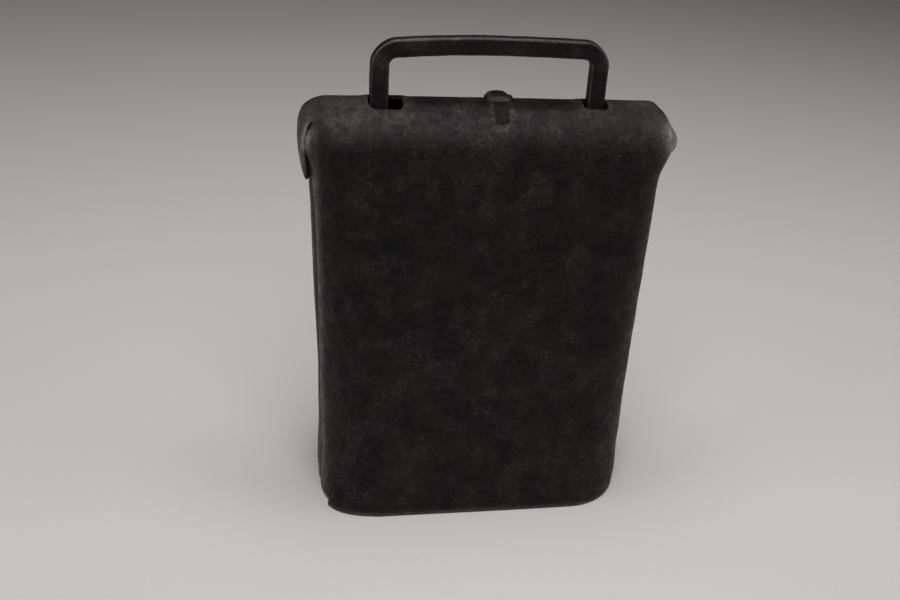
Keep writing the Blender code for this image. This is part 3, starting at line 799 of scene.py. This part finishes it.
def roundedSection(halfU, halfV, edge, cornerSteps=5, faceSteps=4):
    points = []
    corners = ((1, 1), (-1, 1), (-1, -1), (1, -1))
    for quarter, (u, v) in enumerate(corners):
        centre = (u * (halfU - edge), v * (halfV - edge))
        points.append(arcPoints(*centre, edge, quarter * math.pi / 2, (quarter + 1) * math.pi / 2, cornerSteps))
        nextU, nextV = corners[(quarter + 1) % 4]
        end = points[-1][-1]
        ahead = (quarter + 1) * math.pi / 2
        start = np.array([nextU * (halfU - edge), nextV * (halfV - edge)])
        start += edge * np.array([math.cos(ahead), math.sin(ahead)])
        points.append(end + (start - end) * np.linspace(0.0, 1.0, faceSteps + 1)[1:-1, None])
    return np.concatenate(points)


def sweepRings(line, axes, sections, rough, roughSize, seed):
    # sections laid along a line, each with its two directions, and roughened a little (mm)
    rings = np.array([centre + section[:, :1] * uAxis + section[:, 1:] * vAxis
                      for centre, (uAxis, vAxis), section in zip(line, axes, sections)])
    flat = rings.reshape(-1, 3)
    away = flat - np.repeat(np.array(line), rings.shape[1], 0)
    away /= np.linalg.norm(away, axis=1)[:, None]
    push = rough * roughField(flat, roughSize, seed, 2)
    return (flat + away * push[:, None]).reshape(rings.shape)


def evenLine(points, step):
    points = np.asarray(points, float)
    length = np.concatenate([[0.0], np.cumsum(np.linalg.norm(np.diff(points, axis=0), axis=1))])
    places = np.linspace(0.0, length[-1], int(length[-1] / step) + 1)
    return np.stack([np.interp(places, length, points[:, i]) for i in range(points.shape[1])], 1)


def closedLine(points, step):
    # even points round a closed line, and the line's direction at each
    line = evenLine(np.vstack([points, points[:1]]), step)[:-1]
    along = np.roll(line, -1, 0) - np.roll(line, 1, 0)
    return line, along / np.linalg.norm(along, axis=1)[:, None]


def bailLine():
    form = bailForm
    legX = form["halfSpan"] - form["legWidth"] / 2
    barZ = form["top"] - form["barHeight"] / 2
    corner = form["corner"]
    lines = []
    # the bar's top falls a little to either end, more on the right; the left leg leans out at its top
    for side, fall, lean in ((-1, 1.3, 0.1), (1, 0.5, -0.1)):
        cornerX = legX + lean - corner
        xs = np.linspace(cornerX, 0.0, 24)[1:]
        half = np.concatenate([
            np.array([[form["clinchReach"], form["clinchZ"]]]),
            arcPoints(legX + corner, form["clinchZ"] + corner, corner, 1.5 * math.pi, math.pi, 12),
            arcPoints(cornerX, barZ - fall - corner, corner, 0.0, math.pi / 2, 14),
            np.stack([xs, barZ - fall * (xs / cornerX) ** 2], 1),
        ])
        half[:, 0] *= side
        lines.append(half)
    return evenLine(np.concatenate([lines[0][:-1], lines[1][::-1]]), 0.45)


def buildBail(material):
    form = bailForm
    line = bailLine()
    normals = lineNormals(line)
    sections, axes, centres = [], [], []
    for (x, z), (nx, nz) in zip(line, normals):
        onBar = float(smoothStep(z, form["top"] - 10.0, form["top"] - 4.5))
        across = form["legWidth"] + (form["barHeight"] - form["legWidth"]) * onBar
        if z < form["clinchZ"] + form["corner"]:
            across = form["barHeight"]
        # drawn out by hand, so its thickness drifts
        across *= 1.0 + 0.025 * noise.noise(Vector((x / 9.0, z / 9.0, 2.0)))
        depth = form["depth"] * (1.0 + 0.04 * noise.noise(Vector((x / 11.0, z / 11.0, 6.0))))
        section = roundedSection(across / 2, depth / 2, form["edge"])
        # the bends' outsides were drawn thin
        atCorner = (z > 140.0) * float(smoothStep(min(abs(nx), abs(nz)), 0.1, 0.65))
        section[:, 0] *= np.where(section[:, 0] > 0.0, 1.0 - 0.08 * atCorner, 1.0)
        sections.append(section)
        axes.append((np.array([nx, 0.0, nz]), np.array([0.0, 1.0, 0.0])))
        centres.append(np.array([form["x"] + x, 0.0, z]))
    rings = sweepRings(centres, axes, sections, 0.07, 5.0, 31.0)
    mesh = cleanMesh(gridMesh("forgedBail", rings))
    points = readPoints(mesh)
    points[:, 2] = np.minimum(points[:, 2], form["top"] - 0.02)
    writePoints(mesh, points)
    x, y, z = points.T
    n = readNormals(mesh)
    edge = smoothStep(np.abs(n[:, 1]) * np.hypot(n[:, 0], n[:, 2]), 0.30, 0.48)
    field = roughField(points, 8.0, 37, 2)
    rust = 0.4 * smoothStep(z, 140.5, 137.0) * smoothStep(z, 126.0, 134.0)
    rust += 0.12 * smoothStep(field, 0.4, 0.7)
    writeMasks(mesh, wear=0.20 * edge + 0.03 * field, bloom=0.05 + 0.04 * field,
               rust=rust, dust=0.12 * smoothStep(field, 0.3, 0.6))
    return finishPiece(addObject("forgedBail", mesh), material, "bail", "bail")


# staple: a strap over the ridge, drawn down to a round bar inside, which the link rides on

def ridgeAngle(points):
    # degrees from the ridge's top, towards the front
    ridgeZ = bellForm["height"] - bellForm["ridgeRadius"]
    return np.degrees(np.arctan2(-points[:, 1], points[:, 2] - ridgeZ))


def stapleMesh():
    form = stapleForm
    front, back = (stapleHalfPath(**form["halves"][side]) for side in ("front", "back"))
    path = np.concatenate([back, np.stack([-front[::-1, 0], front[::-1, 1]], 1)[:-1]])
    path, along = closedLine(path, 0.35)
    ridgeZ = bellForm["height"] - bellForm["ridgeRadius"]
    centreZ = (bellForm["height"] + form["barZ"]) / 2
    centres, axes, sections = [], [], []
    for (y, z), (ty, tz) in zip(path, along):
        outward = np.array([0.0, -tz, ty])
        if outward @ np.array([0.0, y, z - centreZ]) < 0.0:
            outward = -outward
        turn = math.degrees(math.atan2(-y, z - ridgeZ))
        if abs(turn) < 28.0:
            outward = np.array([0.0, y, z - ridgeZ]) / math.hypot(y, z - ridgeZ)
        drawn = float(smoothStep(z, 127.4, 123.0))
        # a broad domed cap over the ridge, a narrow leg in front of it
        capEnd, plain = form["capFront"], form["thickness"]
        cap = float(smoothStep(turn, capEnd, capEnd - 3.5) * smoothStep(turn, -26.0, -18.0))
        cap *= z > 130.0
        bedded = (z > 128.0 and y < 0.0) * float(smoothStep(turn, capEnd - 3.0, capEnd + 1.0))
        width = form["width"] + (form["capWidth"] - form["width"]) * cap
        thick = plain + (form["capThickness"] - plain) * cap + (form["bedThickness"] - plain) * bedded
        width += (form["barDiameter"] - width) * drawn
        thick += (form["barDiameter"] - thick) * drawn
        edge = 0.45 + 0.25 * cap + (0.46 * form["barDiameter"] - 0.45) * drawn
        section = roundedSection(width / 2, thick / 2, edge)
        # the hammer has rounded the cap from side to side
        section[:, 1] -= cap * form["capDome"] * np.abs(section[:, 0]) ** 3 * (section[:, 1] > 0.0)
        # the strap lies a little askew over the ridge
        skew = (form["skew"][0] if y > 0.0 else form["skew"][1]) * y * float(smoothStep(z, 128.0, 133.0))
        centres.append(np.array([form["x"] + 0.1 + skew, y, z]))
        axes.append((np.array([1.0, 0.0, 0.0]), outward))
        sections.append(section)
    rings = sweepRings(centres, axes, sections, 0.06, 3.5, 43.0)
    return cleanMesh(gridMesh("strapStaple", rings, closedAlong=True))


def buildStaple(material):
    mesh = stapleMesh()
    points, n = readPoints(mesh), readNormals(mesh)
    z = points[:, 2]
    field = roughField(points, 5.0, 47, 2)
    turn = ridgeAngle(points)
    # painted highlight and rust: the band where the strap bends at the cap's front end is paled with wear and
    # bloom and reddened with rust
    bend = smoothStep(np.abs(turn - stapleForm["capFront"] + 0.8), 2.6, 0.8) * (z > 130.0)
    edge = smoothStep(np.abs(n[:, 0]) * np.hypot(n[:, 1], n[:, 2]), 0.28, 0.48)
    wear = 0.16 * edge + 0.22 * bend + 0.5 * smoothStep(z, 119.5, 118.2) * (n[:, 2] > 0)
    rust = 0.4 * bend + 0.5 * smoothStep(z, 132.0, 127.0) * smoothStep(z, 120.0, 126.0)
    dust = 0.3 * smoothStep(z, 135.0, 131.0) * (z > 128.0) * smoothStep(edge, 0.0, 0.6)
    writeMasks(mesh, wear=wear, bloom=0.04 + 0.12 * field + 0.3 * bend, rust=rust, dust=dust)
    return finishPiece(addObject("strapStaple", mesh), material, "bell", "clapper_staple")


# link and clapper, one hung from the other

linkForm = {"wire": 2.8, "innerWidth": 6.4, "innerHeight": 14.0, "gap": 0.3}
clapperForm = {
    "eyeWire": 2.8, "eyeRadius": 2.8, "shank": 2.9,
    "knob": 10.5, "knobBottom": 9.0, "knobHeight": 24.0,
}


def linkHeights():
    top = stapleForm["barZ"] + stapleForm["barDiameter"] / 2 + linkForm["gap"] + linkForm["wire"] / 2
    return top, top - linkForm["innerHeight"] - linkForm["wire"]


def plainMasks(mesh, wear, rust):
    field = roughField(readPoints(mesh), 5.0, 59, 2)
    lumps = smoothStep(field, 0.2, 0.5)
    writeMasks(mesh, wear=wear + 0.2 * field, bloom=0.3 + 0.4 * field, rust=rust + 0.3 * lumps, dust=0.25 * lumps)


def buildLink(material):
    form = linkForm
    radius = (form["innerWidth"] + form["wire"]) / 2
    topZ, bottomZ = linkHeights()
    path = np.concatenate([arcPoints(0.0, topZ - radius, radius, 0.0, math.pi, 40),
                           arcPoints(0.0, bottomZ + radius, radius, math.pi, 2 * math.pi, 40)])
    path, along = closedLine(path, 0.35)
    circle = arcPoints(0.0, 0.0, form["wire"] / 2 - 0.03, 0.0, 2 * math.pi, 24)[:-1]
    centres = [np.array([stapleForm["x"] + x, 0.0, z]) for x, z in path]
    axes = [(np.array([tz, 0.0, -tx]), np.array([0.0, 1.0, 0.0])) for tx, tz in along]
    rings = sweepRings(centres, axes, [circle] * len(path), 0.04, 3.0, 67.0)
    mesh = cleanMesh(gridMesh("wireLink", rings, closedAlong=True))
    z = readPoints(mesh)[:, 2]
    ends = smoothStep(z, topZ - 4.0, topZ) + smoothStep(z, bottomZ + 4.0, bottomZ)
    plainMasks(mesh, 0.55 * ends, 0.35 * (1.0 - ends))
    return finishPiece(addObject("wireLink", mesh), material, "link", "clapper_link")


def buildClapper(material):
    form = clapperForm
    eyeZ = linkHeights()[1] + linkForm["wire"] / 2 + linkForm["gap"] - form["eyeRadius"]
    shankTop = eyeZ - form["eyeRadius"] - 0.7
    shoulder = form["knobBottom"] + form["knobHeight"]
    belly = form["knobBottom"] + form["knob"]
    shank, knob = form["shank"], form["knob"]
    keys = [(1.2, shankTop + 0.15), (2.0, shankTop), (2.5, shankTop - 3.0), (shank, shankTop - 9.0),
            (shank, 60.0), (shank + 0.4, shoulder + 4.0), (shank + 1.8, shoulder),
            (knob * 0.66, belly + 8.5), (knob * 0.9, belly + 4.6), (knob - 0.02, belly)]
    line = [tuple(v) for v in splinePoints(keys, 8)]
    below = arcPoints(0.0, 0.0, 1.0, 0.0, -math.pi / 2, 22)[1:]
    line += [(max(knob * x, 0.05), belly + knob * z) for x, z in below]
    line = evenLine(line, 0.55)
    angles = np.linspace(0.0, 2 * math.pi, 64, endpoint=False)
    rings = []
    for radius, z in line:
        # the shank is eight-sided where the hammer drew it out, the knob only nearly round
        facet = 0.035 * float(smoothStep(z, shoulder - 2.0, shoulder + 6.0))
        round8 = 1.0 - facet * (0.5 - 0.5 * np.cos(8 * angles))
        ring = [radius * round8 * np.cos(angles), radius * round8 * np.sin(angles), np.full(64, z)]
        rings.append(np.stack(ring, 1) + (stapleForm["x"], 0.0, 0.0))
    rings = np.array(rings)
    flat = rings.reshape(-1, 3)
    away = (flat - (stapleForm["x"], 0.0, 0.0)) * (1.0, 1.0, 0.0)
    reach = np.linalg.norm(away, axis=1)
    push = roughField(flat, 5.0, 73, 2) * 0.12 * smoothStep(reach, 0.5, 3.0)
    away /= np.maximum(reach, 0.1)[:, None]
    rings = (flat + away * (push - 0.08)[:, None]).reshape(rings.shape)
    body = addObject("drawnClapper", cleanMesh(gridMesh("drawnClapper", rings)))

    radius = form["eyeRadius"] + form["eyeWire"] / 2
    path = arcPoints(0.0, eyeZ, radius, 0.0, 2 * math.pi, 72)[:-1]
    circle = arcPoints(0.0, 0.0, form["eyeWire"] / 2 - 0.03, 0.0, 2 * math.pi, 20)[:-1]
    centres = [np.array([stapleForm["x"], y, z]) for y, z in path]
    axes = [(np.array([1.0, 0.0, 0.0]), np.array([0.0, y, z - eyeZ]) / radius) for y, z in path]
    eyeRings = sweepRings(centres, axes, [circle] * len(path), 0.04, 3.0, 79.0)
    eye = addObject("clapperEye", cleanMesh(gridMesh("clapperEye", eyeRings, closedAlong=True)))
    mesh = cutAndJoin(body, [(eye, "UNION")])
    z = readPoints(mesh)[:, 2]
    strike = smoothStep(np.abs(z - belly), 6.0, 0.5)
    plainMasks(mesh, 0.6 * strike + 0.3 * smoothStep(z, eyeZ, eyeZ + 3.0), 0.35 * (1.0 - strike))
    return finishPiece(addObject("drawnClapper", mesh), material, "clapper", "clapper")


# irons. Wrought iron under a century of oil, soot and handling: nearly black oxide, not a mirror anywhere

shellLook = {
    "driftSize": 13.0, "mottleSize": 4.6, "grainSize": 0.9, "clusterSize": 9.0,
    "oxides": ((0.37, "#08070c"), (0.46, "#100a0d"), (0.54, "#17100f"), (0.63, "#141011")),
    "olive": "#171810", "oliveShare": 0.8,
    "russet": "#1d0f0e", "russetShare": 0.6,
    "bluish": "#14141c", "bluishShare": 0.65,
    "soot": "#050407", "sootShare": 0.75,
    "grain": "#302c29", "grainShare": 0.55,
    "fleck": "#5c5751", "fleckShare": 0.25,
    "bloomColour": "#5b5650",
    # the bare colour is also the colour of the painted highlights
    "bareAndHighlightColour": "#8b8882",
    "dustColour": "#6a6258", "rustDark": "#241714", "rustLight": "#4c342c", "brazeColour": "#6f6036",
    "scratchWidth": 0.55,            # real ones are under 0.1 mm; drawn coarser so that they show
    "roughLow": 0.44, "roughHigh": 0.68, "burnish": 0.16,
    "patinaMetal": 0.35, "bareMetal": 0.0, "specular": 0.24,
    "pitSize": 2.6, "pitDepth": 0.08,
    "blowSize": 7.0, "blowHeight": 0.20,
    "scaleSize": 1.8, "scaleHeight": 0.13,
    "scratchDepth": 0.04, "crustHeight": 0.10,
}


# gives a matt brown-black skin, greyed along the crown and dull silver where the ears were rubbed, with painted
# highlights on the ears and beside them
patinatedSheetIron = ironMaterial("patinatedSheetIron", shellLook)
# smoother and a little bluer than the sheet, because the strap has polished its scale
strapPolishedForgedIron = ironMaterial("strapPolishedForgedIron", dict(
    shellLook, driftSize=9.0, mottleSize=3.0, fleckShare=0.08,
    oxides=((0.36, "#0c080a"), (0.46, "#120c0e"), (0.55, "#100e12"), (0.65, "#161112")),
    grainShare=0.4, oliveShare=0.3, roughLow=0.46, roughHigh=0.62,
    blowSize=5.0, blowHeight=0.16, scaleSize=1.5, scaleHeight=0.06, pitSize=2.2, pitDepth=0.06))
# hammered thin and left black, with a reddish line where it bends, paled there by a painted highlight
hammeredStrapIron = ironMaterial("hammeredStrapIron", dict(
    shellLook, driftSize=6.0, mottleSize=2.2, grainSize=0.8, fleckShare=0.15,
    oxides=((0.36, "#090607"), (0.46, "#0f0a0b"), (0.55, "#120c0e"), (0.65, "#191212")),
    grainShare=0.3, specular=0.14, patinaMetal=0.2, roughLow=0.58, roughHigh=0.74,
    blowSize=3.0, blowHeight=0.14, scaleSize=1.3, scaleHeight=0.06, pitSize=1.8, pitDepth=0.05))
# drawn wire, brighter where metal rides on metal
rustedIronWire = ironMaterial("rustedIronWire", dict(
    shellLook, driftSize=8.0, mottleSize=3.0, grainSize=0.8, russetShare=0.9, roughLow=0.40, roughHigh=0.6,
    blowSize=3.0, blowHeight=0.08, scaleSize=1.1, scaleHeight=0.05, pitSize=1.6, pitDepth=0.04))
# forged bar with a knob, its belly kept bright by the strokes against the wall
struckForgedIron = ironMaterial("struckForgedIron", dict(
    shellLook, driftSize=12.0, mottleSize=4.5, grainSize=1.1, russetShare=0.8, roughLow=0.38, roughHigh=0.6,
    blowSize=5.0, blowHeight=0.18, scaleSize=1.6, scaleHeight=0.07, pitSize=2.4, pitDepth=0.06))
print("materials made:", len(bpy.data.materials))

buildShell(patinatedSheetIron)
buildBail(strapPolishedForgedIron)
buildStaple(hammeredStrapIron)
buildLink(rustedIronWire)
buildClapper(struckForgedIron)


# floor, lights and camera

studio = {
    "floorColour": "#c9c6c4",
    "boxes": (
        # name, watts, place and size in metres
        ("overhead", 2.8, (0.0, 0.02, 0.78), 0.5),
        ("front", 2.65, (-0.05, -0.40, 0.66), 0.5),
        ("leftSide", 1.3, (-0.75, -0.15, 0.50), 0.6),
        ("rightSide", 1.6, (0.75, -0.15, 0.50), 0.6),
    ),
    "worldColour": "#f0f0f1", "worldStrength": 0.05,
}


def buildStudio():
    # a pale paper floor that curves up far away on every side
    profile = [(0.0, 0.0), (0.6, 0.0), (2.2, 0.0)]
    profile += [(2.2 + 0.8 * math.sin(a), 0.8 - 0.8 * math.cos(a)) for a in np.linspace(0.1, math.pi / 2, 14)]
    profile.append((3.0, 2.6))
    mesh = bpy.data.meshes.new("paperSweep")
    spokes = np.linspace(0.0, 2 * math.pi, 96, endpoint=False)
    count = len(spokes)
    points = [(0.0, 0.0, 0.0)] + [(r * math.cos(a), r * math.sin(a), z) for r, z in profile[1:] for a in spokes]
    faces = [(0, 1 + i, 1 + (i + 1) % count) for i in range(count)]
    for row in range(len(profile) - 2):
        low, high = 1 + row * count, 1 + (row + 1) * count
        faces += [(low + i, high + i, high + (i + 1) % count, low + (i + 1) % count) for i in range(count)]
    mesh.from_pydata(points, [], faces)
    mesh.shade_smooth()
    paper = bpy.data.materials.new("matPaperSweep")
    paper.use_nodes = True
    tree = paper.node_tree
    shader = tree.nodes["Principled BSDF"]
    shader.inputs["Roughness"].default_value = 0.78
    place = addNode(tree, "TexCoord").outputs["Object"]
    tooth = addNode(tree, "TexNoise", {"Scale": 900.0, "Detail": 3.0}, {"Vector": place}).outputs[0]
    tones = ((0.3, "#c6c3c1"), (0.7, studio["floorColour"]))
    tone = addNode(tree, "ValToRGB", {"stops": tones}, {0: tooth}).outputs[0]
    tree.links.new(tone, shader.inputs["Base Color"])
    mesh.materials.append(paper)
    sweep = addObject("paperSweep", mesh)

    for name, watts, place, size in studio["boxes"]:
        lamp = bpy.data.lights.new(name + "Softbox", "AREA")
        lamp.shape = "DISK"
        lamp.size = size
        lamp.energy = watts
        box = bpy.data.objects.new(name + "Softbox", lamp)
        box.location = place
        box.rotation_euler = (Vector((0.0, 0.0, 0.05)) - box.location).to_track_quat("-Z", "Y").to_euler()
        bpy.context.scene.collection.objects.link(box)
    world = bpy.data.worlds.new("softRoom")
    world.use_nodes = True
    sky = world.node_tree.nodes["Background"]
    sky.inputs["Color"].default_value = hexColour(studio["worldColour"])
    sky.inputs["Strength"].default_value = studio["worldStrength"]
    bpy.context.scene.world = world
    bpy.context.scene.view_settings.view_transform = "Standard"


cameraPlace = {
    "azimuth": -12.14, "elevation": 26.8, "distance": 0.3696, "aimHeight": 0.0739,
    "roll": 4.65, "lens": 44.0, "shift": (-28.6 / 900, -16.0 / 900),
}


def buildCamera():
    form = cameraPlace
    camera = bpy.data.cameras.new("benchCamera")
    camera.sensor_width = 36.0
    camera.lens = form["lens"]
    camera.shift_x, camera.shift_y = form["shift"]
    camera.clip_start = 0.01
    a, e = math.radians(form["azimuth"]), math.radians(form["elevation"])
    away = Vector((math.sin(a) * math.cos(e), -math.cos(a) * math.cos(e), math.sin(e)))
    piece = bpy.data.objects.new("benchCamera", camera)
    piece.location = Vector((0.0, 0.0, form["aimHeight"])) + away * form["distance"]
    turn = (-away).to_track_quat("-Z", "Y") @ Quaternion((0.0, 0.0, 1.0), math.radians(form["roll"]))
    piece.rotation_mode = "QUATERNION"
    piece.rotation_quaternion = turn
    bpy.context.scene.collection.objects.link(piece)
    bpy.context.scene.camera = piece


buildStudio()
buildCamera()
print("studio and camera placed")
